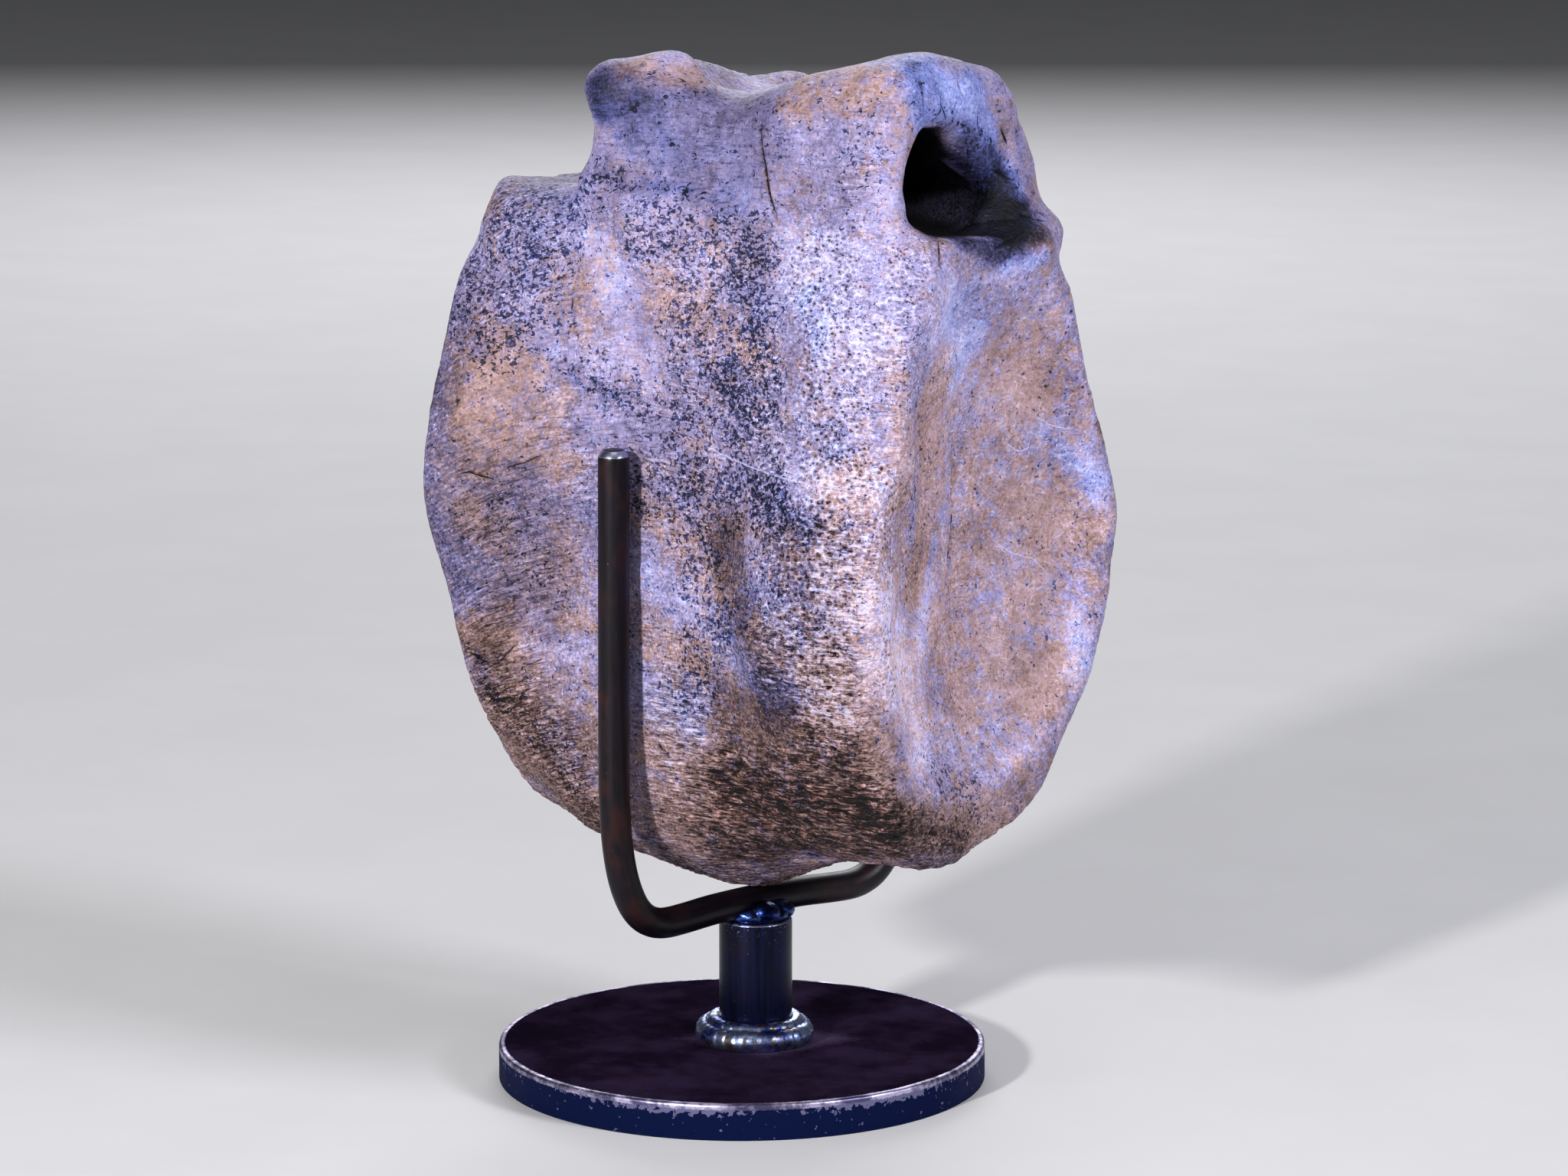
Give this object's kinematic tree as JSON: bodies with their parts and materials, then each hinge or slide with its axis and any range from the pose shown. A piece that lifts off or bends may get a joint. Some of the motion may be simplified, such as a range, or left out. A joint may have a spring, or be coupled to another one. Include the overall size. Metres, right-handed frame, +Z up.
{
  "type": "mounted fossil dinosaur vertebra",
  "caption": "Fossil dinosaur vertebra with its neural arch and canal, cradled in a bent steel rod on a welded post and round steel foot.",
  "frame": {"origin": "centre of the round foot's underside, on the floor", "axes": "+Z up; +X along the vertebra's own axis, through its neural canal, towards the dished end that shows; +Y towards the rear upright"},
  "size_m": [0.152, 0.127, 0.2707],
  "materials": {
    "bone": "weathered fossil bone, pink-grey with blue-black and ochre stain",
    "steel": "dark mill scale, waxed",
    "rod": "dark brown hot-bent steel",
    "weld": "bright weld with heat tint"
  },
  "bodies": {
    "root": {"vertebra": "bone", "base_disc": "steel", "post": "steel", "base_weld": "weld", "top_weld": "weld", "cradle_rod": "rod"}
  },
  "joints": []
}
